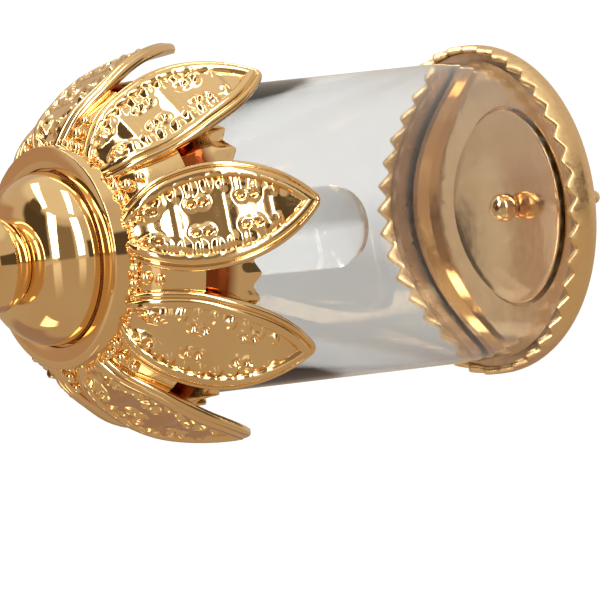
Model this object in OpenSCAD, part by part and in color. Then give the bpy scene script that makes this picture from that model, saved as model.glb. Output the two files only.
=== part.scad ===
// Small gold-capped sample vial with a screw stopper and a clear dauber rod.
// Heights are measured from the rim of the foot cup and then moved so that the
// centre of the hanging eye is the origin. +Z runs along the vial, foot to eye.

/* [Tube] */
// Outer diameter of the clear tube
tube_d = 15; // [14.6:0.1:15.2]
// Wall thickness of the tube
tube_wall = 0.35; // [0.3:0.05:0.4]
// Height of the tube's top edge above the foot rim
tube_top = 21; // [20.8:0.1:21.1]

/* [Toothed cups] */
// Outer diameter of the foot cup and the head cup
cup_d = 16.5; // [16.4:0.1:16.8]
// Sheet thickness of both cups
cup_wall = 0.35; // [0.3:0.05:0.4]
// Number of teeth round each cup
teeth = 40; // [24:2:60]
// Height of a tooth
tooth_h = 0.45; // [0.35:0.05:0.8]
// Height of the head cup's rim above the foot rim
head_rim = 19.6; // [18.5:0.1:19.8]

/* [Petals] */
// Number of petals
petals = 8; // [6:1:10]
// Angle of the first petal from the -Y direction
petal_turn = 8; // [0:1:45]
// Half width of a petal at its widest
petal_half_w = 2.65; // [2.2:0.05:2.9]
// Sheet thickness of the petal cup
petal_t = 0.4; // [0.3:0.05:0.45]

/* [Collar and stopper] */
// Outer diameter of the collar
collar_d = 11; // [10.6:0.1:11.2]
// Diameter of the stopper dome
dome_d = 8.6; // [8.4:0.1:8.7]
// Outer diameter of the stopper's threaded stud
stud_d = 6; // [5.8:0.1:6]
// Radial clearance between the stud and the neck bush
stud_gap = 0.05; // [0.02:0.01:0.1]
// Diameter of the finial bead
bead_d = 5; // [4.6:0.1:5.2]
// Diameter of the clear dauber rod
rod_d = 4.3; // [3.6:0.1:4.4]
// Height of the rod's lower end above the foot rim
rod_end = 7.75; // [4:0.25:14]

/* [Eyes] */
// Inner diameter of both eyes
eye_bore = 2.2; // [2:0.1:2.6]
// Thickness of the wire of both eyes
eye_wire = 0.7; // [0.5:0.05:0.8]
// Shank diameter of the foot pin
foot_shank_d = 0.7; // [0.5:0.05:0.8]
// Shank diameter of the hanging eye
eye_shank_d = 0.8; // [0.6:0.05:0.9]

/* [Hidden] */
$fn = 96;
eps = 0.01;

tube_r = tube_d / 2;
cup_r = cup_d / 2;
cup_in = cup_r - cup_wall;
foot_lip = 0.3;
foot_round = 1.65;
foot_floor = -foot_lip - foot_round + cup_wall;
tube_foot = -1.2;
head_top = 24.35;
collar_low = 24.75;
collar_top = 25.7;
dome_low = 26;
collar_r = collar_d / 2;
dome_r = dome_d / 2;
dome_round = 2.35;
dome_centre = dome_low + 0.15;
dome_wall = 0.35;
dome_top = dome_centre + dome_round;
bead_r = bead_d / 2;
bead_seat_r = 1.93;
bead_centre = dome_top + sqrt(bead_r * bead_r - bead_seat_r * bead_seat_r) + eps;
bead_top = bead_centre + bead_r;
neck_r = 3.6;
stud_r = stud_d / 2;
bush_low = 23.55;
stud_low = bush_low;
rod_r = rod_d / 2;
rod_top = 25.5;
eye_in = eye_bore / 2;
eye_out = eye_in + eye_wire;
origin_h = 34.4;
foot_eye_h = -5.25;
ball_r = 0.7;
pin_hole_r = foot_shank_d / 2 + 0.05;

// Outer profile of the petal bell: [radius, height], from the collar down to the petal tips
bell = [[collar_r, collar_low], [6.2, 24.47], [6.85, 24.07], [7.45, 23.4], [8.0, 22.6], [8.75, 21.45],
        [9.35, 20.2], [9.75, 18.8], [10.0, 17.35], [10.1, 16.05]];
petal_tip = 16.05;
petal_root = 26.65;
web_low = 22;

// Outer profile of the head cup's shoulder: [radius, height], from its side wall up to its top
head_shoulder = [[cup_r, 20.5], [8.1, 21.35], [7.6, 22.15], [6.8, 22.95], [5.8, 23.75], [4.9, head_top]];

// Half length, arc radius and middle height of a leaf's outline, two arcs that cross at the tip
leaf_half_l = (petal_root - petal_tip) / 2;
leaf_arc_r = (leaf_half_l * leaf_half_l + petal_half_w * petal_half_w) / (2 * petal_half_w);
leaf_mid = petal_root - leaf_half_l;

function bell_r(h) = lookup(h, [for (i = [len(bell) - 1:-1:0]) [bell[i][1], bell[i][0]]]);
function leaf_half(h) = sqrt(pow(leaf_arc_r, 2) - pow(h - leaf_mid, 2)) - leaf_arc_r + petal_half_w;
function gap_half(h) = bell_r(h) * sin(180 / petals) - leaf_half(h);
function lowered(points, d) = [for (p = points) [p[0] - d, p[1] - d / 2]];
function reversed(points) = [for (i = [len(points) - 1:-1:0]) points[i]];

// A solid of revolution from a profile given in heights above the foot rim
module turned(points) {
  rotate_extrude() polygon(points);
}

// A plain ring between two radii and two heights
module ring(r_in, r_out, low, high) {
  difference() {
    translate([0, 0, low]) cylinder(r = r_out, h = high - low);
    translate([0, 0, low - 1]) cylinder(r = r_in, h = high - low + 2);
  }
}

// V gaps that leave a row of teeth round a cup's edge; up = 1 for teeth that point up, -1 for down
module tooth_gaps(rim, up) {
  pitch = 360 / teeth;
  half = 0.94 * cup_r * sin(pitch / 2);
  deep = tooth_h + 0.1;
  for (i = [0:teeth - 1])
    rotate([0, 0, i * pitch])
      translate([cup_in - 0.5, 0, rim])
        rotate([90, 0, 90])
          linear_extrude(cup_wall + 1)
            polygon([[0, 0], [half * deep / tooth_h, up * deep], [-half * deep / tooth_h, up * deep]]);
}

// Flattened wire eye in the YZ plane, its bore along X, with a true cylindrical land
module wire_eye(height) {
  half = eye_wire / 2;
  land = 0.2;
  translate([0, 0, height])
    rotate([0, 90, 0])
      rotate_extrude()
        polygon([[eye_in, -land], [eye_in + 0.15, -half], [eye_out - 0.15, -half], [eye_out, -land],
                 [eye_out, land], [eye_out - 0.15, half], [eye_in + 0.15, half], [eye_in, land]]);
}

module foot_eye_pin() {
  ball_h = foot_floor + 0.2 + sqrt(ball_r * ball_r - pin_hole_r * pin_hole_r) + eps;
  color("gold") {
    translate([0, 0, ball_h]) sphere(r = ball_r);
    translate([0, 0, foot_eye_h + eye_in + 0.35])
      cylinder(d = foot_shank_d, h = ball_h - foot_eye_h - eye_in - 0.35);
    wire_eye(foot_eye_h);
  }
}

// Dished plate that the ball head bears on
module foot_plate() {
  color("goldenrod")
    turned([[pin_hole_r, foot_floor], [3.2, foot_floor], [4.6, foot_floor + 0.3],
            [4.6, foot_floor + 0.5], [3.1, foot_floor + 0.2], [pin_hole_r, foot_floor + 0.2]]);
}

module foot_seat() {
  color("wheat")
    turned([[4.8, foot_floor], [6.5, foot_floor], [7, foot_floor + 0.12], [7.05, -0.75],
            [6.75, -0.75], [6.7, foot_floor + 0.3], [4.8, foot_floor + 0.25]]);
}

module foot_cement() {
  color("tan")
    turned([[tube_r, -1.1], [7.65, -0.95], [7.78, -0.7], [7.87, -0.3], [7.87, -0.1], [tube_r, -0.1]]);
}

module foot_cup() {
  corner_r = cup_r - foot_round;
  color("gold")
    difference() {
      rotate_extrude()
        difference() {
          union() {
            translate([0, -foot_lip - foot_round]) square([corner_r, foot_round]);
            translate([cup_in - 0.2, -foot_lip]) square([cup_wall + 0.2, foot_lip + tooth_h]);
            intersection() {
              translate([corner_r, -foot_lip]) circle(r = foot_round);
              translate([corner_r, -foot_lip - foot_round]) square(foot_round);
            }
          }
          translate([0, foot_floor]) square([corner_r, 4]);
          translate([corner_r, -foot_lip]) circle(r = foot_round - cup_wall);
          translate([corner_r, -foot_lip]) square([cup_in - corner_r, 2]);
        }
      translate([0, 0, foot_floor - 1]) cylinder(r = pin_hole_r, h = 3);
      tooth_gaps(0, 1);
    }
}

module glass_tube() {
  color("lightcyan", 0.4) ring(tube_r - tube_wall, tube_r, tube_foot, tube_top);
}

module head_cement() {
  color("tan") ring(tube_r, cup_in, head_rim + 0.2, 20.3);
}

module head_seal() {
  color("dimgray")
    turned([[6.3, tube_top], [tube_r + 0.1, tube_top], [tube_r + 0.1, tube_top + 0.25],
            [7.1, tube_top + 0.75], [6.3, tube_top + 0.75]]);
}

module head_cup() {
  edge = head_rim - tooth_h;
  color("gold")
    difference() {
      turned(concat([[cup_r, edge]], head_shoulder, [[neck_r, head_top], [neck_r, head_top - cup_wall]],
                    reversed(lowered(head_shoulder, cup_wall)), [[cup_in, edge]]));
      tooth_gaps(head_rim, -1);
    }
}

// Block that cuts the gap between two leaves; its sides are the two leaves' arcs
module leaf_gap() {
  step = (web_low - petal_tip) / 9;
  heights = [for (i = [0:9]) petal_tip + i * step];
  side = [for (h = heights) [gap_half(h), h]];
  foot = [[gap_half(petal_tip) + 0.3, petal_tip - 1]];
  outline = concat(foot, side, [[0, web_low + gap_half(web_low)]]);
  mirrored = [for (p = reversed(concat(foot, side))) [-p[0], p[1]]];
  rotate([90, 0, 0]) linear_extrude(12) polygon(concat(outline, mirrored));
}

module petal_cup() {
  inner = concat([[collar_r - 0.2, head_top]], lowered([for (i = [1:len(bell) - 1]) bell[i]], petal_t));
  color("gold")
    difference() {
      turned(concat([[neck_r, head_top], [neck_r, collar_low]], bell, reversed(inner)));
      for (i = [0:petals - 1])
        rotate([0, 0, petal_turn + (i + 0.5) * 360 / petals]) leaf_gap();
    }
}

module bead_ring() {
  wire_r = 0.13;
  color("gold")
    rotate_extrude() translate([collar_r + wire_r + eps, collar_low + 0.15]) circle(r = wire_r, $fn = 32);
}

module collar() {
  groove_r = 4.4;
  crown_r = 1.8;
  crown_top = collar_top + 0.33;
  color("gold")
    rotate_extrude() {
      translate([neck_r, collar_low]) square([collar_r - neck_r, collar_top - collar_low]);
      intersection() {
        translate([groove_r, collar_top - 0.5]) square([collar_r - groove_r, 2]);
        translate([(groove_r + collar_r) / 2, crown_top - crown_r]) circle(r = crown_r);
      }
    }
}

module neck_bush() {
  flange_r = 4.6;
  color("goldenrod")
    difference() {
      union() {
        translate([0, 0, bush_low]) cylinder(r = neck_r, h = collar_top - bush_low);
        translate([0, 0, bush_low]) cylinder(r = flange_r, h = head_top - cup_wall - bush_low);
      }
      translate([0, 0, bush_low - 1]) cylinder(r = stud_r + stud_gap, h = 4);
    }
}

module seal_washer() {
  color("ivory") ring(stud_r + 0.02, 4.2, collar_top, dome_low);
}

module stopper_dome() {
  shoulder = dome_r - dome_round;
  color("gold")
    rotate_extrude()
      difference() {
        union() {
          translate([0, dome_low]) square([dome_r, dome_centre - dome_low]);
          translate([0, dome_centre]) square([shoulder, dome_round]);
          intersection() {
            translate([shoulder, dome_centre]) circle(r = dome_round);
            translate([shoulder, dome_centre]) square(dome_round);
          }
        }
        translate([0, dome_low - 1]) square([dome_r - dome_wall, dome_centre - dome_low + 1]);
        translate([0, dome_low]) square([shoulder, dome_top - dome_wall - dome_low]);
        translate([shoulder, dome_centre]) circle(r = dome_round - dome_wall);
        translate([0, dome_low]) square([bead_seat_r, 4]);
      }
}

module stopper_stud() {
  head_r = 3.8;
  head_h = 0.6;
  color("goldenrod")
    difference() {
      union() {
        translate([0, 0, stud_low]) cylinder(r = stud_r, h = dome_low - stud_low);
        translate([0, 0, dome_low]) cylinder(r = head_r, h = head_h);
      }
      translate([0, 0, stud_low - 1]) cylinder(r = rod_r, h = rod_top - stud_low + 1);
      translate([0, 0, rod_top + 0.2]) cylinder(d = eye_shank_d, h = 3);
    }
}

module dauber_rod() {
  tip_round = 1.2;
  core_r = rod_r - tip_round;
  color("white", 0.5)
    rotate_extrude() {
      translate([0, rod_end]) square([core_r, rod_top - rod_end]);
      translate([0, rod_end + tip_round]) square([rod_r, rod_top - rod_end - tip_round]);
      intersection() {
        translate([core_r, rod_end + tip_round]) circle(r = tip_round);
        translate([core_r, rod_end]) square(tip_round);
      }
    }
}

module finial_bead() {
  color("gold")
    difference() {
      translate([0, 0, bead_centre]) sphere(r = bead_r);
      translate([0, 0, bead_centre - 5]) cylinder(d = eye_shank_d, h = 10);
    }
}

module hanging_eye() {
  stop_r = 0.8;
  ring_low = origin_h - eye_out;
  shank_low = rod_top + 0.2;
  color("gold") {
    wire_eye(origin_h);
    translate([0, 0, shank_low]) cylinder(d = eye_shank_d, h = ring_low + 0.35 - shank_low);
    translate([0, 0, bead_top]) cylinder(r = stop_r, h = 0.2);
  }
}

// Puts a piece in the part's own frame, with the hanging eye at the origin
module placed() {
  translate([0, 0, -origin_h]) children();
}

placed() foot_eye_pin();
placed() foot_plate();
placed() foot_seat();
placed() foot_cement();
placed() foot_cup();
placed() glass_tube();
placed() head_cement();
placed() head_seal();
placed() head_cup();
placed() petal_cup();
placed() bead_ring();
placed() collar();
placed() neck_bush();
placed() seal_washer();
placed() stopper_dome();
placed() stopper_stud();
placed() dauber_rod();
placed() finial_bead();
placed() hanging_eye();
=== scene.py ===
"""Gold sample vial: the looks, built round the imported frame. Lengths are millimetres until new_object()."""
import math

import bmesh
import bpy
from mathutils import Matrix, Vector


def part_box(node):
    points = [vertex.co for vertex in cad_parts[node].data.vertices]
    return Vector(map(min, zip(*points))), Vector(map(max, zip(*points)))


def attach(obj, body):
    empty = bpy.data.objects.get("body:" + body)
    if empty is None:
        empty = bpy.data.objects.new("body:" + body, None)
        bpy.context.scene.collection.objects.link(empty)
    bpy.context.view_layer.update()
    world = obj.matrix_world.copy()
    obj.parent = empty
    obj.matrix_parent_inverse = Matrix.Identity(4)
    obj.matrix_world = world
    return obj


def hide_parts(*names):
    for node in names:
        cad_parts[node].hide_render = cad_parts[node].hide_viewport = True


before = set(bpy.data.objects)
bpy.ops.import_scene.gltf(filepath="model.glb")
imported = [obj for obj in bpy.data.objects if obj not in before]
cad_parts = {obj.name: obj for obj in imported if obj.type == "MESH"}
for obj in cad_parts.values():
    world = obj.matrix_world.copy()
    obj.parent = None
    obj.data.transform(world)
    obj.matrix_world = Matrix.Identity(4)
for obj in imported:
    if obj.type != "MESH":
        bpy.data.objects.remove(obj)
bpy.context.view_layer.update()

MM = 0.001
TAU = 2 * math.pi

# ---------------------------------------------------------------- sizes from the frame


def box(node):
    """Lowest and highest corner of a CAD node, in millimetres."""
    low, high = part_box(node)
    return Vector(low) / MM, Vector(high) / MM


foot_lo, foot_hi = box("foot_cup")
head_lo, head_hi = box("head_cup")
tube_lo, tube_hi = box("glass_tube")
petal_lo, petal_hi = box("petal_cup")
collar_lo, collar_hi = box("collar")
dome_lo, dome_hi = box("stopper_dome")
bead_lo, bead_hi = box("finial_bead")
rod_lo, rod_hi = box("dauber_rod")
stud_lo, stud_hi = box("stopper_stud")
bush_hi = box("neck_bush")[1]
washer_lo, washer_hi = box("seal_washer")
plate_lo, plate_hi = box("foot_plate")
ring_lo, ring_hi = box("bead_ring")
eye_lo, eye_hi = box("hanging_eye")
pin_lo, pin_hi = box("foot_eye_pin")

TEETH = 40
TOOTH_H = 0.45
CUP_WALL = 0.35
CRIMP = 0.2
PIN_HOLE_R = 0.4
NECK_R = 3.62
cup_r = foot_hi.x
tube_r = tube_hi.x
foot_rim = foot_hi.z - TOOTH_H
head_rim = head_lo.z + TOOTH_H

# ---------------------------------------------------------------- materials


class Shader:
    """Builds a node material round one Principled shader."""

    def __init__(self, name, **values):
        self.mat = bpy.data.materials.new(name)
        self.mat.use_nodes = True
        self.tree = self.mat.node_tree
        self.bsdf = self.tree.nodes["Principled BSDF"]
        for key, value in values.items():
            self.bsdf.inputs[key.replace("_", " ")].default_value = value

    def link(self, a, b):
        self.tree.links.new(a, b)

    def noise(self, scale, detail=4.0, rough=0.5, distortion=0.0, stretch=(1, 1, 1)):
        """Noise over the object, with its scale in features per millimetre."""
        coords = self.tree.nodes.new("ShaderNodeTexCoord")
        mapping = self.tree.nodes.new("ShaderNodeMapping")
        mapping.inputs["Scale"].default_value = [k / MM for k in stretch]
        self.link(coords.outputs["Object"], mapping.inputs["Vector"])
        tex = self.tree.nodes.new("ShaderNodeTexNoise")
        tex.inputs["Scale"].default_value = scale
        tex.inputs["Detail"].default_value = detail
        tex.inputs["Roughness"].default_value = rough
        tex.inputs["Distortion"].default_value = distortion
        self.link(mapping.outputs["Vector"], tex.inputs["Vector"])
        return tex.outputs["Fac"]

    def place(self, axis):
        """The object's own X, Y or Z, in metres."""
        coords = self.tree.nodes.new("ShaderNodeTexCoord")
        split = self.tree.nodes.new("ShaderNodeSeparateXYZ")
        self.link(coords.outputs["Object"], split.inputs["Vector"])
        return split.outputs[axis]

    def spread(self, value, source, target):
        """Maps a socket's value from the source range to the target range, straight and clamped."""
        node = self.tree.nodes.new("ShaderNodeMapRange")
        node.inputs["From Min"].default_value, node.inputs["From Max"].default_value = source
        for socket, end in (("To Min", target[0]), ("To Max", target[1])):
            if isinstance(end, float):
                node.inputs[socket].default_value = end
            else:
                self.link(end, node.inputs[socket])
        self.link(value, node.inputs["Value"])
        return node.outputs["Result"]

    def colour(self, fac, *stops):
        ramp = self.tree.nodes.new("ShaderNodeValToRGB")
        paint_ramp(ramp.color_ramp, stops)
        self.link(fac, ramp.inputs["Fac"])
        self.link(ramp.outputs["Color"], self.bsdf.inputs["Base Color"])

    def roughness(self, fac, low, high):
        self.link(self.spread(fac, (0.3, 0.7), (low, high)), self.bsdf.inputs["Roughness"])

    def bump(self, height, strength, depth):
        node = self.tree.nodes.new("ShaderNodeBump")
        node.inputs["Strength"].default_value = strength
        node.inputs["Distance"].default_value = depth * MM
        self.link(height, node.inputs["Height"])
        self.link(node.outputs["Normal"], self.bsdf.inputs["Normal"])


def paint_ramp(ramp, stops):
    while len(ramp.elements) < len(stops):
        ramp.elements.new(0.5)
    for element, (position, colour) in zip(ramp.elements, stops):
        element.position = position
        element.color = (*colour, 1)


def gold(name, light, dark, rough, grain, ripple):
    """Gold plate: slow colour drift, cloudy polish and a faint cast ripple."""
    s = Shader(name, Metallic=1.0)
    s.colour(s.noise(0.3, detail=3), (0.3, dark), (0.7, light))
    s.roughness(s.noise(2.5, detail=6, rough=0.65), rough * 0.6, rough * 1.5)
    s.bump(s.noise(grain, detail=3, rough=0.4), ripple, 0.03)
    return s.mat


def gold_with_painted_shade(name, low, high, rough):
    """Gold plate with painted shade: it goes dark red above a height, standing in for the shade deep under
    the petals.
    """
    s = Shader(name, Metallic=1.0)
    # painted shade: the colour turns from gold to dark red up the wall, where shade falls under the petals
    depth = s.spread(s.place("Z"), (low * MM, high * MM), (0.0, 1.0))
    s.colour(depth, (0.0, GOLD_LIGHT), (1.0, (0.30, 0.07, 0.018)))
    s.roughness(s.noise(2.5, detail=6), rough * 0.6, rough * 1.5)
    s.bump(s.noise(2.0, detail=3), 0.4, 0.03)
    return s.mat


def clear(name, tint, ior, rough, scratch, gloss=0.0):
    """Clear glass, a little grey, with fine scratches along it; gloss adds to its shine."""
    s = Shader(name, IOR=ior, Transmission_Weight=1.0, Coat_Weight=gloss, Coat_Roughness=0.02)
    s.colour(s.noise(0.5, detail=5), (0.3, tint), (0.7, [c * 1.02 for c in tint]))
    fine = s.noise(3.0, detail=8, rough=0.8, distortion=2.0, stretch=(1, 1, 0.15))
    s.roughness(fine, 0.0, rough)
    s.bump(fine, scratch, 0.01)
    return s.mat


def dull(name, light, dark, rough, grain, depth):
    """Plastic, rubber or cement: mottled colour and a soft grain."""
    s = Shader(name)
    s.colour(s.noise(grain, detail=5), (0.3, dark), (0.7, light))
    fine = s.noise(grain * 6)
    s.roughness(fine, rough * 0.8, rough * 1.2)
    s.bump(fine, 0.4, depth)
    return s.mat


GOLD_LIGHT = (0.95, 0.68, 0.36)
GOLD_DARK = (0.90, 0.61, 0.30)
gold_polished = gold("gold_polished", GOLD_LIGHT, GOLD_DARK, 0.05, 1.0, 0.06)
gold_stamped = gold("gold_stamped", GOLD_LIGHT, GOLD_DARK, 0.09, 2.0, 0.35)
gold_satin = gold("gold_satin", GOLD_LIGHT, GOLD_DARK, 0.33, 3.0, 0.5)
# painted shade on the head cup's wall, dark red from 1.0 to 1.6 mm above its rim
gold_painted_shade = gold_with_painted_shade("gold_painted_shade", head_rim + 1.0, head_rim + 1.6, 0.1)
gold_inner = gold("gold_inner", (0.93, 0.69, 0.42), (0.84, 0.59, 0.33), 0.12, 1.2, 0.5)
brass_raw = gold("brass_raw", (0.83, 0.63, 0.33), (0.7, 0.5, 0.24), 0.2, 5.0, 0.4)
tube_glass = clear("tube_glass", (0.965, 0.975, 0.975), 1.45, 0.006, 0.03)
rod_glass = clear("rod_glass", (0.975, 0.98, 0.98), 1.12, 0.02, 0.05, gloss=0.6)
cement_set = gold("cement_set", (0.88, 0.66, 0.48), (0.66, 0.44, 0.28), 0.36, 1.2, 0.9)
seal_soft = dull("seal_soft", (0.45, 0.17, 0.06), (0.33, 0.11, 0.035), 0.5, 2.0, 0.02)

# ---------------------------------------------------------------- mesh helpers


class Shape:
    """Rings of points joined into closed skins."""

    def __init__(self):
        self.verts = []
        self.faces = []

    def ring(self, points):
        start = len(self.verts)
        self.verts.extend(points)
        return list(range(start, len(self.verts)))

    def band(self, a, b, closed=True):
        """Quads between two rings, or triangles where one of them is a single point."""
        count = max(len(a), len(b))
        for i in range(count if closed else count - 1):
            j = (i + 1) % count
            if len(a) == 1:
                self.faces.append((a[0], b[j], b[i]))
            elif len(b) == 1:
                self.faces.append((a[i], a[j], b[0]))
            else:
                self.faces.append((a[i], a[j], b[j], b[i]))

    def loft(self, rings, closed=True, joined=False):
        for a, b in zip(rings, rings[1:] + (rings[:1] if joined else [])):
            if len(a) > 1 or len(b) > 1:
                self.band(a, b, closed)

    def lathe(self, profile, seg, lift=None, press=None):
        """Turns a closed (radius, height) profile about Z.
        lift(index, angle) adds height and press(index, angle) takes off radius."""
        rings = []
        for k, (r, z) in enumerate(profile):
            if r < 1e-6:
                rings.append(self.ring([(0, 0, z)]))
                continue
            points = []
            for i in range(seg):
                a = TAU * i / seg
                out = r - (press(k, a) if press else 0)
                points.append((out * math.sin(a), -out * math.cos(a), z + (lift(k, a) if lift else 0)))
            rings.append(self.ring(points))
        self.loft(rings, joined=True)

    def ball(self, centre, radius, seg=12, stacks=8):
        rings = [self.ring([(centre[0], centre[1], centre[2] - radius)])]
        for k in range(1, stacks):
            b = math.pi * k / stacks
            r, z = radius * math.sin(b), centre[2] - radius * math.cos(b)
            rings.append(self.ring([(centre[0] + r * math.cos(TAU * i / seg),
                                     centre[1] + r * math.sin(TAU * i / seg), z) for i in range(seg)]))
        rings.append(self.ring([(centre[0], centre[1], centre[2] + radius)]))
        self.loft(rings)

    def wire(self, points, radius, sides=20):
        """A round wire along a path, with flat ends."""
        points = [Vector(p) for p in points]
        side = (points[1] - points[0]).orthogonal().normalized()
        rings = []
        for i, p in enumerate(points):
            along = (points[min(i + 1, len(points) - 1)] - points[max(i - 1, 0)]).normalized()
            side = (side - along * side.dot(along)).normalized()
            other = along.cross(side)
            turn = [TAU * k / sides for k in range(sides)]
            rings.append(self.ring([tuple(p + radius * (math.cos(a) * side + math.sin(a) * other))
                                    for a in turn]))
        self.loft(rings)
        self.faces.append(tuple(reversed(rings[0])))
        self.faces.append(tuple(rings[-1]))


def new_object(name, shape, material, sharp=None):
    """Makes a Shape an object in metres, smooth but for edges over the sharp angle."""
    mesh = bpy.data.meshes.new(name)
    mesh.from_pydata([tuple(c * MM for c in v) for v in shape.verts], [], shape.faces)
    bm = bmesh.new()
    bm.from_mesh(mesh)
    bmesh.ops.recalc_face_normals(bm, faces=bm.faces)
    bm.to_mesh(mesh)
    bm.free()
    mesh.polygons.foreach_set("use_smooth", [True] * len(mesh.polygons))
    if sharp is not None:
        mesh.set_sharp_from_angle(angle=math.radians(sharp))
    mesh.materials.append(material)
    obj = bpy.data.objects.new(name, mesh)
    bpy.context.scene.collection.objects.link(obj)
    return obj


def piece(obj, body, slot, *nodes):
    """Gives a piece its body and hides the CAD nodes that it stands for; the record slot is not used."""
    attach(obj, body)
    if nodes:
        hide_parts(*nodes)


def lathe(name, profile, material, seg=160, sharp=35, lift=None, press=None):
    shape = Shape()
    shape.lathe(profile, seg, lift, press)
    return new_object(name, shape, material, sharp)


def arc(centre_r, centre_z, radius, start, end, steps):
    """Profile points along an arc; angles in degrees, 0 outward and 90 up."""
    angles = [math.radians(start + (end - start) * i / steps) for i in range(steps + 1)]
    return [(centre_r + radius * math.cos(a), centre_z + radius * math.sin(a)) for a in angles]


def smooth(t):
    """Smooth step from 0 at t = 0 to 1 at t = 1."""
    t = min(1, max(0, t))
    return t * t * (3 - 2 * t)


# ---------------------------------------------------------------- camera

VIEW_TILT = math.radians(35)
VIEW_ROLL = math.radians(6.6)
VIEW_WIDTH = 30.0
LENS = 900.0
SENSOR = 36.0
RIM_RIGHT = 9.0
RIM_UP = 4.5


def make_camera():
    """Long lens over the finial's end, rolled so that the vial lies across the picture.
    The foot rim's centre stands RIM_RIGHT and RIM_UP from the picture's middle."""
    toward = Vector((0, -math.cos(VIEW_TILT), math.sin(VIEW_TILT)))
    along = Vector((0, -math.sin(VIEW_TILT), -math.cos(VIEW_TILT)))
    across = Vector((1, 0, 0))
    right = math.cos(VIEW_ROLL) * along - math.sin(VIEW_ROLL) * across
    up = math.sin(VIEW_ROLL) * along + math.cos(VIEW_ROLL) * across
    target = Vector((0, 0, foot_rim)) - RIM_RIGHT * right - RIM_UP * up
    data = bpy.data.cameras.new("camera")
    data.lens = LENS
    data.sensor_width = SENSOR
    data.clip_start = 0.01
    data.clip_end = 20
    camera = bpy.data.objects.new("camera", data)
    matrix = Matrix((right, up, toward)).transposed().to_4x4()
    matrix.translation = (target + toward * VIEW_WIDTH * LENS / SENSOR) * MM
    camera.matrix_world = matrix
    bpy.context.scene.collection.objects.link(camera)
    bpy.context.scene.camera = camera


make_camera()

# ---------------------------------------------------------------- toothed cups


def tooth_wave(angle):
    """0 in a valley between two teeth and 1 on a tip, a pointed tooth with its corners worn round."""
    turn = (angle / TAU * TEETH) % 1
    return 0.6 * (1 - abs(2 * turn - 1)) + 0.2 * (1 - math.cos(TAU * turn))


def tooth_rim(outer_r, edge, up):
    """Rounded top of a toothed wall, from its outer face to its inner face."""
    inner_r = outer_r - CUP_WALL
    bevel = 0.14
    return [(outer_r, edge - up * bevel), (outer_r - 0.04, edge - up * 0.04), (outer_r - bevel, edge),
            (inner_r + bevel, edge), (inner_r + 0.04, edge - up * 0.04), (inner_r, edge - up * bevel)]


def foot_cup():
    floor, corner = foot_lo.z, 1.65
    outer = [(PIN_HOLE_R, floor)] + [(r, floor) for r in (1.5, 3.0, 4.5, 5.8)]
    outer += arc(cup_r - corner, floor + corner, corner, -90, 0, 18) + [(cup_r, foot_rim - 0.2)]
    rim = tooth_rim(cup_r, foot_rim, 1)
    inner = [(cup_r - CUP_WALL, foot_rim - 0.2)]
    inner += arc(cup_r - corner, floor + corner, corner - CUP_WALL, 0, -90, 14)
    inner += [(r, floor + CUP_WALL) for r in (5.6, 4.0, 2.0, PIN_HOLE_R)]
    first = len(outer)

    def lift(k, a):
        return tooth_wave(a) * TOOTH_H if first <= k < first + len(rim) else 0

    return lathe("foot_cup_skin", outer + rim + inner, gold_satin, seg=TEETH * 10, sharp=40, lift=lift)


def head_cup():
    top = head_hi.z
    shoulder = [(cup_r, top - 3.85), (8.1, top - 3.0), (7.6, top - 2.2), (6.8, top - 1.4),
                (5.8, top - 0.6), (4.9, top)]
    inner = [(r - CUP_WALL, h - CUP_WALL / 2) for r, h in reversed(shoulder)]
    rim = tooth_rim(cup_r, head_rim, -1)[::-1]
    flutes = [(cup_r, head_rim + 0.2), (cup_r, head_rim + 0.45), (cup_r, head_rim + 0.7)]
    profile = [(cup_r - CUP_WALL, head_rim + 0.2)] + rim + flutes + shoulder
    profile += [(NECK_R, head_hi.z), (NECK_R, head_hi.z - CUP_WALL)] + inner

    def lift(k, a):
        return -tooth_wave(a) * TOOTH_H if 1 <= k <= len(rim) else 0

    fade = dict(enumerate((0.5, 0.9, 1, 0.8, 0.5, 0.2), len(rim) - 1))

    def press(k, a):
        """Crimped hollows between the teeth, which run out up the wall."""
        return CRIMP * (1 - tooth_wave(a)) * fade.get(k, 0)

    # the head cup's upper wall carries painted shade under the petals
    return lathe("head_cup_skin", profile, gold_painted_shade, seg=TEETH * 10, sharp=40, lift=lift, press=press)


piece(foot_cup(), "vial", "gold_plate", "foot_cup")
piece(head_cup(), "vial", "gold_plate", "head_cup")

# ---------------------------------------------------------------- petals

PETALS = 8
PETAL_TURN = math.radians(8)
LEAF_W = 2.65
LEAF_L = 5.9
LEAF_ARC = (LEAF_L ** 2 + LEAF_W ** 2) / (2 * LEAF_W)
TIP_R = 0.5
LEAF_TIP = LEAF_L - math.sqrt((LEAF_ARC - TIP_R) ** 2 - (LEAF_ARC - LEAF_W) ** 2)
SHEET = 0.36
EDGE_W, EDGE_H, EDGE_DROP = 0.2, 0.13, 0.22
RIDGE_AT, RIDGE_HALF_W, RIDGE_H = 0.57, 0.28, 0.24
leaf_tip_z = petal_lo.z + 0.22

# The bell's outline from the petal tips up to the collar: (radius, height above the tips)
BELL = [(10.1, 0.0), (10.0, 1.3), (9.75, 2.75), (9.35, 4.15), (8.75, 5.4), (8.0, 6.55),
        (7.45, 7.35), (6.85, 8.02), (6.2, 8.42), (5.5, 8.7)]


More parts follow.
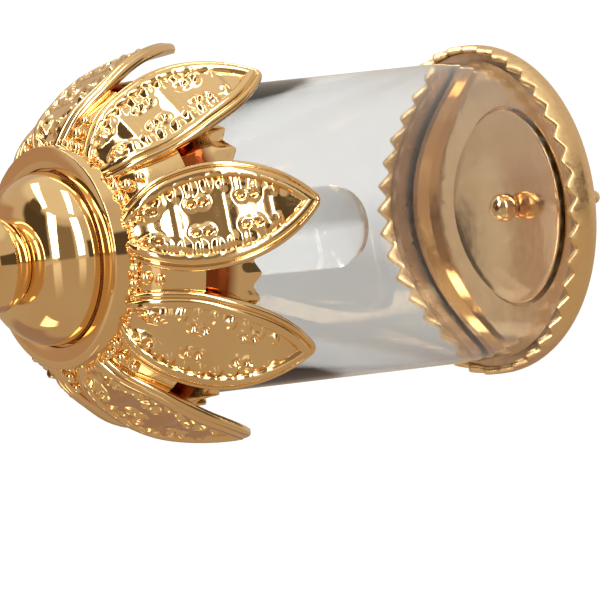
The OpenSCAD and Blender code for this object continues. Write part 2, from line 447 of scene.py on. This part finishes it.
class Bell:
    """The bell as a smooth curve, by length from the petal tips."""

    def __init__(self, outline, drop):
        knots = [Vector((r - drop, h)) for r, h in outline]
        knots = [2 * knots[0] - knots[1]] + knots + [2 * knots[-1] - knots[-2]]
        self.points = []
        for a, b, c, d in zip(knots, knots[1:], knots[2:], knots[3:]):
            for step in range(12):
                t = step / 12
                self.points.append(0.5 * (2 * b + (c - a) * t + (2 * a - 5 * b + 4 * c - d) * t ** 2
                                          + (3 * b - a - 3 * c + d) * t ** 3))
        self.points.append(knots[-2])
        self.at = [0.0]
        for a, b in zip(self.points, self.points[1:]):
            self.at.append(self.at[-1] + (b - a).length)
        self.length = self.at[-1]

    def __call__(self, q):
        """Radius, height and outward (radial, vertical) normal at length q."""
        k = 0
        while k < len(self.at) - 2 and self.at[k + 1] < q:
            k += 1
        a, b = self.points[k], self.points[k + 1]
        p = a + (b - a) * ((q - self.at[k]) / (self.at[k + 1] - self.at[k]))
        d = (b - a).normalized()
        return p.x, p.y, (d.y, -d.x)


bell = Bell(BELL, RIDGE_H)
FLATTEN = 0.35


def leaf_point(side, q, out):
    """A point of the leaf that faces -Y: side from its middle line, q from its tip, out from its field."""
    r, h, (n_r, n_z) = bell(q)
    bend = FLATTEN * side / r
    radial = r - bend * side / 2 + n_r * out
    return (side + bend * n_r * out, -radial, leaf_tip_z + h + n_z * out)


def inset_side(q, inset):
    """Half width at q of the leaf's outline, moved in by inset; the tip is a small round."""
    drop, small = LEAF_TIP - q, TIP_R - inset
    if drop * (LEAF_ARC - TIP_R) > small * (LEAF_L - LEAF_TIP):
        return math.sqrt(max(small ** 2 - drop ** 2, 0)) if small > 0 else 0
    return math.sqrt(max((LEAF_ARC - inset) ** 2 - (q - LEAF_L) ** 2, 0)) - LEAF_ARC + LEAF_W


def inset_at(side, q):
    """Distance of a point from the leaf's nearer edge."""
    drop = LEAF_TIP - q
    if abs(side) * (LEAF_L - LEAF_TIP) < drop * (LEAF_ARC - LEAF_W):
        return TIP_R - math.hypot(side, drop)
    return LEAF_ARC - math.hypot(abs(side) + LEAF_ARC - LEAF_W, q - LEAF_L)


def rim_relief(inset):
    """Rounded edge, a fine groove, then the broad rounded ridge that frames the field."""
    if inset < EDGE_W:
        return EDGE_H - EDGE_DROP * (1 - math.sqrt(max(1 - (1 - inset / EDGE_W) ** 2, 0)))
    bevel = EDGE_H * (1 - smooth((inset - EDGE_W - 0.03) / 0.07))
    t = (inset - RIDGE_AT) / RIDGE_HALF_W
    return max(bevel, RIDGE_H * (1 - abs(t) ** 3) ** 0.8 if abs(t) < 1 else 0)


ROW_STEP = 2.5
FIRST_ROW = 4.05
STUD_FIRST, STUD_STEP = 1.9, 0.8
STUD_LONG, STUD_WIDE, STUD_H = 0.34, 0.54, 0.2
CRATER_SIDE, CRATER_GAP = 0.72, 0.3
CRATER_R, CRATER_SOFT, CRATER_PIT, CRATER_H = 0.26, 0.12, 0.15, 0.13


def leaf_studs():
    """Soft beads along the ridge: (side, q, half length, half width, height)."""
    studs = []
    q = STUD_FIRST
    while q < bell.length - 0.6:
        size = 0.75 + 0.25 * smooth((q - 1.5) / 4)
        side = inset_side(q, RIDGE_AT + RIDGE_HALF_W - 0.01 + 0.3 * size)
        if side > 0.3:
            studs += [(k * side, q, STUD_LONG * size, STUD_WIDE * size, STUD_H * size) for k in (-1, 1)]
        q += STUD_STEP
    return studs


def leaf_craters():
    """Pairs of small ringed pits in three rows and two columns: (side, q)."""
    rows = [FIRST_ROW + ROW_STEP * i for i in range(3)]
    return [(side, row + step) for row in rows for step in (-CRATER_GAP, CRATER_GAP)
            for side in (-CRATER_SIDE, CRATER_SIDE)]


def field_wave(q):
    """Low cross ridges that part the field between the rows of pits."""
    return 0.16 * math.cos(math.pi * (q - FIRST_ROW - ROW_STEP / 2) / ROW_STEP) ** 6


def leaf_relief(side, q, studs, craters):
    inset = inset_at(side, q)
    out = rim_relief(inset) + field_wave(q) * smooth((inset - 0.8) / 0.45)
    for s, at, long, wide, height in studs:
        d2 = ((side - s) / wide) ** 2 + ((q - at) / long) ** 2
        if d2 < 1:
            out += height * (1 - d2) ** 1.5
    for s, at in craters:
        d = math.hypot(side - s, q - at)
        if d < 0.65:
            ring = math.exp(-((d - CRATER_R) / CRATER_SOFT) ** 2)
            out += CRATER_H * (ring - math.exp(-(d / CRATER_PIT) ** 2))
    return out


def leaf_rows():
    rows = [LEAF_TIP - TIP_R + gap for gap in (0.005, 0.02, 0.05, 0.1)]
    while rows[-1] < bell.length:
        rows.append(rows[-1] + (0.07 if rows[-1] < 1.4 else 0.1))
    rows[-1] = bell.length
    return rows


def leaf_columns(q):
    """Places across the leaf: fine over the rim, even over the field."""
    fine = (0, 0.015, 0.04, 0.08, 0.14, 0.2, 0.24, 0.27, 0.3, 0.33,
            0.38, 0.45, 0.53, 0.61, 0.69, 0.76, 0.81, 0.85, 0.92)
    squeeze = min(1, 0.8 * inset_at(0, q) / fine[-1])
    edge = [inset_side(q, d * squeeze) for d in fine]
    inside = 36
    field = [edge[-1] * (1 - 2 * i / inside) for i in range(1, inside)]
    return edge + field + [-s for s in reversed(edge)]


def turned_about(points, angle):
    """Points turned about Z, positive from -Y toward +X."""
    c, s = math.cos(angle), math.sin(angle)
    return [(x * c - y * s, x * s + y * c, z) for x, y, z in points]


def leaf_back(q):
    """A row across the leaf's plain back, with its corners taken off."""
    corner = 0.12
    half, edge = inset_side(q, 0), inset_side(q, corner)
    return [leaf_point(half, q, corner - SHEET), leaf_point(edge, q, -SHEET), leaf_point(0, q, -SHEET),
            leaf_point(-edge, q, -SHEET), leaf_point(-half, q, corner - SHEET)]


def petal_leaves():
    """Pointed leaves with a framed, beaded and pitted face and a plain back."""
    studs, craters, rows = leaf_studs(), leaf_craters(), leaf_rows()
    front = [[leaf_point(s, q, leaf_relief(s, q, studs, craters)) for s in leaf_columns(q)] for q in rows]
    back = [leaf_back(q) for q in rows]
    shape = Shape()
    for i in range(PETALS):
        turn = PETAL_TURN + TAU * i / PETALS
        faces = [shape.ring(turned_about(row, turn)) for row in front]
        backs = [shape.ring(turned_about(row, turn)) for row in back]
        shape.loft(faces, closed=False)
        shape.loft([list(reversed(b)) for b in backs], closed=False)
        shape.loft([[b[0], f[0]] for b, f in zip(backs, faces)], closed=False)
        shape.loft([[f[-1], b[-1]] for b, f in zip(backs, faces)], closed=False)
        shape.faces.append(tuple(faces[0]) + tuple(reversed(backs[0])))
        shape.faces.append(tuple(reversed(faces[-1])) + tuple(backs[-1]))
    return new_object("petal_leaves", shape, gold_stamped, sharp=55)


WEB_LOW = 6.5
WEB_OUT, WEB_IN = 0.12, 0.3


def web_surface():
    """The bell's own sheet between the leaf roots, from the collar down to the gaps."""
    steps = 12
    spots = [bell(bell.length + (WEB_LOW - bell.length) * i / steps) for i in range(steps + 1)]
    outer = [(r - WEB_OUT * n[0], leaf_tip_z + h - WEB_OUT * n[1]) for r, h, n in spots]
    inner = [(r - WEB_IN * n[0], leaf_tip_z + h - WEB_IN * n[1]) for r, h, n in reversed(spots)]
    profile = [(NECK_R, petal_hi.z), (5.3, petal_hi.z)] + outer + inner + [(NECK_R, head_hi.z)]
    return lathe("petal_web", profile, gold_stamped, sharp=40)


def web_beads():
    """Larger beads between the leaf roots."""
    shape = Shape()
    for i in range(PETALS):
        turn = PETAL_TURN + TAU * (i + 0.5) / PETALS
        for side, q, radius in ((-0.36, 10.15, 0.3), (0.36, 10.15, 0.3), (0, 9.5, 0.34), (0, 8.75, 0.27)):
            shape.ball(turned_about([leaf_point(side, q, 0)], turn)[0], radius, seg=16, stacks=10)
    return new_object("web_beads", shape, gold_stamped)


piece(petal_leaves(), "vial", "gold_plate", "petal_cup")
piece(web_surface(), "vial", "gold_plate")
piece(web_beads(), "vial", "gold_plate")

# ---------------------------------------------------------------- collar and bead ring


def collar_skin():
    """Flat-sided ring with a crisp upper edge and a gently rounded face."""
    r, low, groove_r, crown_r = collar_hi.x, collar_lo.z, 4.4, 3.2
    middle = (r + groove_r) / 2
    spread = math.degrees(math.asin((r - middle - 0.03) / crown_r))
    face = arc(middle, collar_hi.z - crown_r, crown_r, 90 - spread, 90 + spread, 14)
    edge = face[0][1]
    profile = [(NECK_R, low), (r - 0.04, low), (r, low + 0.04), (r, edge - 0.05), (r - 0.01, edge - 0.015)]
    profile += face + [(groove_r, edge - 0.04), (groove_r, bush_hi.z), (NECK_R, bush_hi.z)]
    return lathe("collar_skin", profile, gold_polished, seg=192, sharp=40)


def grain_ring():
    """A fine bead row on a wire where the petals meet the collar."""
    shape = Shape()
    size = (ring_hi.z - ring_lo.z) / 2
    middle, at = ring_lo.z + size, ring_hi.x - size
    count = 128
    for i in range(count):
        a = TAU * i / count
        shape.ball((at * math.sin(a), -at * math.cos(a), middle), size, seg=10, stacks=6)
    shape.lathe(arc(at, middle, size * 0.7, 0, 330, 11), 128)
    return new_object("grain_ring", shape, gold_stamped)


piece(collar_skin(), "vial", "gold_plate", "collar")
piece(grain_ring(), "vial", "gold_plate", "bead_ring")

# ---------------------------------------------------------------- stopper

THREAD_PITCH = 1.5


def dome_skin():
    """Domed cap with a small rolled lip round the finial bead's seat."""
    r, low, top = dome_hi.x, dome_lo.z, dome_hi.z
    rounding, wall, hole = 2.35, 0.35, 1.93
    at, centre = r - rounding, top - rounding
    profile = [(r - wall, low), (r - 0.06, low), (r - 0.015, low + 0.02), (r, low + 0.07)]
    profile += arc(at, centre, rounding, 0, 90, 40)
    profile += [(hole, top - 0.03), (hole, top - wall)]
    profile += arc(at, centre, rounding - wall, 90, 0, 20)
    return lathe("dome_skin", profile, gold_polished, seg=192, sharp=40)


def bead_skin():
    r = (bead_hi.x - bead_lo.x) / 2
    middle = (bead_lo.z + bead_hi.z) / 2
    end = math.degrees(math.acos(0.4 / r))
    return lathe("bead_skin", arc(0, middle, r, -end, end, 56), gold_polished, seg=128, sharp=40)


def add_wire_eye(shape, height, mean_r, wire, gap_at):
    """A loop of round wire in the YZ plane, with the fine gap where the wire closes."""
    steps, gap = 64, 0.08
    angles = [gap_at + gap + (TAU - 2 * gap) * i / steps for i in range(steps + 1)]
    shape.wire([(0, mean_r * math.cos(a), height + mean_r * math.sin(a)) for a in angles], wire)


def hanging_eye_skin():
    """Wire eye, its stop disc on the finial bead, and the shank down to the stud."""
    shape = Shape()
    wire, shank = 0.35, 0.4
    mean_r = eye_hi.y - wire
    low, neck, stop = eye_lo.z, 0.05 - mean_r, bead_hi.z
    add_wire_eye(shape, 0, mean_r, wire, -math.pi / 2 - 0.42)
    shape.lathe([(0, low), (shank - 0.05, low), (shank, low + 0.05), (shank, neck - 0.3), (wire, neck),
                 (0, neck)], 32)
    shape.lathe([(0, stop), (0.74, stop), (0.8, stop + 0.06), (0.8, stop + 0.14), (0.74, stop + 0.2),
                 (0.45, stop + 0.24), (0, stop + 0.24)], 48)
    return new_object("hanging_eye_skin", shape, gold_polished, sharp=45)


def add_thread(shape, root, crest, start, end):
    """A helical ridge, THREAD_PITCH to a turn, that runs out at both ends."""
    turns = (end - start) / THREAD_PITCH
    steps = int(72 * turns)
    rings = []
    for i in range(steps + 1):
        t = i / steps
        a, z = TAU * turns * t, start + (end - start) * t
        out = root + (crest - root) * smooth(min(8 * t, 8 * (1 - t), 1)) + 0.001
        section = [(root, z - 0.36), (out, z - 0.1), (out, z + 0.1), (root, z + 0.36)]
        rings.append(shape.ring([(r * math.cos(a), r * math.sin(a), h) for r, h in section]))
    shape.loft(rings)
    shape.faces += [tuple(rings[0]), tuple(reversed(rings[-1]))]


def stud_skin():
    """Threaded plug: a core, a helical thread and a flat head inside the dome."""
    shape = Shape()
    low, head, top, bore = stud_lo.z, dome_lo.z, stud_hi.z, rod_hi.x
    core, crest, flat_r = 2.66, 3.0, stud_hi.x
    shape.lathe([(bore, low), (core - 0.12, low), (core, low + 0.12), (core, head), (flat_r - 0.02, head),
                 (flat_r, head + 0.02), (flat_r, top - 0.08), (flat_r - 0.08, top), (0, top),
                 (0, rod_hi.z + 0.02), (bore, rod_hi.z + 0.02)], 96)
    add_thread(shape, core - 0.1, crest, low + 0.4, head - 0.45)
    return new_object("stud_skin", shape, brass_raw, sharp=35)


def rod_skin():
    r, low, top, tip = rod_hi.x, rod_lo.z, rod_hi.z, 1.2
    profile = [(0, low)] + arc(r - tip, low + tip, tip, -90, 0, 16)
    profile += [(r, top - 0.05), (r - 0.05, top), (0, top)]
    return lathe("rod_skin", profile, rod_glass, seg=96, sharp=40)


def washer_skin():
    r, low, high, soft = washer_hi.x, washer_lo.z, washer_hi.z, 0.06
    bore = stud_hi.x * 0.8
    profile = [(bore, low), (r - soft, low), (r, low + soft)]
    profile += [(r, high - soft), (r - soft, high), (bore, high)]
    return lathe("washer_skin", profile, seal_soft, seg=96)


piece(dome_skin(), "stopper", "gold_plate", "stopper_dome")
piece(bead_skin(), "stopper", "gold_plate", "finial_bead")
piece(hanging_eye_skin(), "stopper", "gold_plate", "hanging_eye")
piece(stud_skin(), "stopper", "raw_brass", "stopper_stud")
piece(rod_skin(), "stopper", "clear_rod", "dauber_rod")
piece(washer_skin(), "seal", "soft_seal", "seal_washer")

# ---------------------------------------------------------------- tube and foot


def tube_skin():
    """Thin tube with fire-rounded ends."""
    lip = 0.175
    at = tube_r - lip
    profile = arc(at, tube_lo.z + lip, lip, 180, 360, 10) + arc(at, tube_hi.z - lip, lip, 0, 180, 10)
    return lathe("tube_skin", profile, tube_glass, seg=192, sharp=60)


def plate_skin():
    """Dished plate with a rolled edge under the ball head."""
    low, high, r, sheet, steps = plate_lo.z, plate_hi.z, plate_hi.x, 0.2, 12
    dish = [(r * k / steps, low + sheet + (high - low - sheet) * (k / steps) ** 2)
            for k in range(steps - 1, 1, -1)]
    profile = [(PIN_HOLE_R, low), (3.1, low + 0.01), (4.2, low + 0.16), (r - 0.01, high - sheet)]
    profile += arc(r - 0.05, high - 0.05, 0.05, -20, 130, 6) + dish + [(PIN_HOLE_R, low + sheet)]
    return lathe("plate_skin", profile, gold_inner, seg=128, sharp=60)


def foot_pin_skin():
    """Wire eye below the foot, with its shank through the foot and a ball head inside."""
    shape = Shape()
    wire, ball = 0.35, pin_hi.x
    mean_r, middle = pin_hi.y - wire, pin_hi.z - ball
    centre = pin_lo.z + pin_hi.y
    add_wire_eye(shape, centre, mean_r, wire, math.pi / 2 + 0.42)
    low = centre + mean_r - 0.05
    shape.lathe([(0, low), (wire, low), (wire, middle - 0.5), (0, middle - 0.5)], 32)
    shape.ball((0, 0, middle), ball, seg=48, stacks=32)
    return new_object("foot_pin_skin", shape, gold_polished, sharp=45)


piece(tube_skin(), "vial", "clear_tube", "glass_tube")
piece(plate_skin(), "vial", "raw_brass", "foot_plate")
piece(foot_pin_skin(), "foot_pin", "gold_plate", "foot_eye_pin")

CAD_MATERIALS = {"foot_seat": gold_inner, "foot_cement": cement_set, "head_cement": cement_set,
                 "head_seal": seal_soft, "neck_bush": brass_raw}
for node, material in CAD_MATERIALS.items():
    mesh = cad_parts[node].data
    mesh.materials.clear()
    mesh.materials.append(material)

# ---------------------------------------------------------------- stage and light

FLOOR_HALF = 6000
FLOOR_DROP = 120
TO_THE_EYE = 0.6
# Painted shade on the floor seen through the glass: its glow from the -X side to the +X side
THROUGH_GLASS_LOW = 0.02
THROUGH_GLASS_HIGH = 0.36


def floor_paint():
    """It glows white to the eye; through the glass its glow is pale grey, with painted shade that leaves it a
    little lighter toward +X.
    """
    s = Shader("floor_pale", Roughness=0.9)
    s.colour(s.noise(0.02), (0.3, (0.54, 0.58, 0.63)), (0.7, (0.56, 0.6, 0.65)))
    s.bsdf.inputs["Emission Color"].default_value = (1, 1, 1, 1)
    # painted shade: the glow seen through the glass rises from the -X side to the +X side of the tube
    shade = s.spread(s.place("X"), (-tube_r * MM, tube_r * MM), (THROUGH_GLASS_LOW, THROUGH_GLASS_HIGH))
    path = s.tree.nodes.new("ShaderNodeLightPath")
    glow = s.spread(path.outputs["Is Camera Ray"], (0.0, 1.0), (shade, TO_THE_EYE))
    s.link(glow, s.bsdf.inputs["Emission Strength"])
    return s.mat


def floor():
    """A plain floor well below the vial, left out of reflections, which see the studio in its place."""
    half, low = FLOOR_HALF, pin_lo.z - FLOOR_DROP
    shape = Shape()
    shape.faces.append(tuple(shape.ring([(-half, -half, low), (half, -half, low), (half, half, low),
                                         (-half, half, low)])))
    plane = new_object("floor", shape, floor_paint())
    plane.visible_glossy = False


class Studio:
    """Paints the surroundings by direction: up the picture is +X, bearing runs from +Z toward -Y."""

    def __init__(self):
        world = bpy.data.worlds.new("studio")
        bpy.context.scene.world = world
        world.use_nodes = True
        self.tree = world.node_tree
        self.back = self.tree.nodes["Background"]
        coords = self.tree.nodes.new("ShaderNodeTexCoord")
        split = self.tree.nodes.new("ShaderNodeSeparateXYZ")
        self.link(coords.outputs["Generated"], split.inputs["Vector"])
        self.up = split.outputs["X"]
        minus = self.math("MULTIPLY", split.outputs["Y"], -1.0)
        self.bearing = self.math("ARCTAN2", minus, split.outputs["Z"])
        self.colour = None

    def link(self, a, b):
        self.tree.links.new(a, b)

    def math(self, operation, a, b):
        node = self.tree.nodes.new("ShaderNodeMath")
        node.operation = operation
        for socket, value in zip(node.inputs, (a, b)):
            if isinstance(value, float):
                socket.default_value = value
            else:
                self.link(value, socket)
        return node.outputs["Value"]

    def step(self, value, low, high):
        """Smooth step of a socket's value from 0 at low to 1 at high."""
        node = self.tree.nodes.new("ShaderNodeMapRange")
        node.interpolation_type = "SMOOTHSTEP"
        node.inputs["From Min"].default_value = low
        node.inputs["From Max"].default_value = high
        self.link(value, node.inputs["Value"])
        return node.outputs["Result"]

    def window(self, value, low, high, soft):
        rise = self.step(value, low - soft, low + soft)
        fall = self.step(value, high - soft, high + soft)
        return self.math("SUBTRACT", rise, fall)

    def patch(self, bearings, ups, soft=0.03):
        """Mask of a patch between two bearings in degrees and two heights, as sines of elevation."""
        across = self.window(self.bearing, *(math.radians(b) for b in bearings), soft)
        return self.math("MULTIPLY", across, self.window(self.up, *ups, soft))

    def paint(self, colour, mask=None):
        """Lays a colour over what is there, through a mask."""
        if mask is None:
            rgb = self.tree.nodes.new("ShaderNodeRGB")
            rgb.outputs[0].default_value = (*colour, 1)
            self.colour = rgb.outputs[0]
            return
        mix = self.tree.nodes.new("ShaderNodeMix")
        mix.data_type = "RGBA"
        self.link(mask, mix.inputs["Factor"])
        self.link(self.colour, mix.inputs["A"])
        mix.inputs["B"].default_value = (*colour, 1)
        self.colour = mix.outputs["Result"]

    def finish(self, seen):
        """Behind the vial the studio is plain and pale; only gold and glass see the painting."""
        path = self.tree.nodes.new("ShaderNodeLightPath")
        self.paint(seen, path.outputs["Is Camera Ray"])
        self.link(self.colour, self.back.inputs["Color"])


HORIZON = -0.08
WALL = (0.60, 0.52, 0.43)
CEILING = (0.80, 0.75, 0.64)
TABLE = (0.47, 0.38, 0.275)
TABLE_GLOW = (0.95, 0.85, 0.72)
SEEN_BEHIND = (1.0, 1.0, 1.0)

# Darker and warmer parts of the room: (colour, bearings, heights, softness of the edge)
ROOM_PATCHES = [
    ((0.25, 0.19, 0.125), (24, 66), (HORIZON, 0.6), 0.05),
    ((0.085, 0.062, 0.036), (-40, 4), (0.0, 0.68), 0.06),
    ((0.11, 0.08, 0.05), (-36, -8), (0.6, 0.82), 0.04),
    ((0.44, 0.30, 0.22), (-120, -52), (HORIZON, 0.4), 0.05),
    ((0.10, 0.075, 0.05), (98, 160), (HORIZON, 0.28), 0.03),
]
# A rosy shade and a bright card on the table
TABLE_PATCHES = [
    ((0.34, 0.24, 0.2), (-150, -66), (-0.8, -0.35), 0.06),
    ((3.2, 2.4, 1.5), (-54, -28), (-0.93, -0.74), 0.03),
]


def studio():
    s = Studio()
    s.paint(WALL)
    s.paint(CEILING, s.step(s.up, 0.66, 0.8))
    for colour, bearings, ups, soft in ROOM_PATCHES:
        s.paint(colour, s.patch(bearings, ups, soft))
    s.paint(TABLE, s.step(s.up, HORIZON + 0.01, HORIZON - 0.01))
    for bearings in ((8, 28), (72, 90)):
        glow = s.math("MULTIPLY", s.patch(bearings, (-0.8, HORIZON), 0.05), s.step(s.up, -0.75, HORIZON))
        s.paint(TABLE_GLOW, glow)
    for colour, bearings, ups, soft in TABLE_PATCHES:
        s.paint(colour, s.patch(bearings, ups, soft))
    s.finish(SEEN_BEHIND)


def panel(name, middle, normal_up, width, height, radiance):
    """A soft rectangular lamp, height along normal_up, facing the vial's middle."""
    data = bpy.data.lights.new(name, "AREA")
    data.shape = "RECTANGLE"
    data.size, data.size_y = width, height
    data.energy = radiance * math.pi * width * height
    lamp = bpy.data.objects.new(name, data)
    aim = Vector((0, 0, (foot_rim + collar_hi.z) / 2 * MM))
    back = Vector(middle).normalized()
    side = Vector(normal_up).cross(back).normalized()
    matrix = Matrix((side, back.cross(side), back)).transposed().to_4x4()
    matrix.translation = aim + Vector(middle)
    lamp.matrix_world = matrix
    lamp.visible_camera = False
    bpy.context.scene.collection.objects.link(lamp)


def lights():
    """Two tall softboxes either side of the camera and two overhead strips."""
    away = 0.6
    for name, bearing, radiance in (("softbox_a", 18, 6.0), ("softbox_b", 80, 6.0)):
        b = math.radians(bearing)
        spot = (0.26, -away * math.sin(b), away * math.cos(b))
        panel(name, spot, (1, 0, 0), 0.19, 0.58, radiance)
    panel("overhead_a", (0.5, 0.16, 0.20), (0, 0.36, -0.445), 0.09, 0.5, 4.0)
    panel("overhead_b", (0.5, -0.17, -0.03), (0, 0.34, -0.165), 0.09, 0.38, 4.0)


floor()
studio()
lights()
bpy.context.scene.view_settings.view_transform = "Standard"
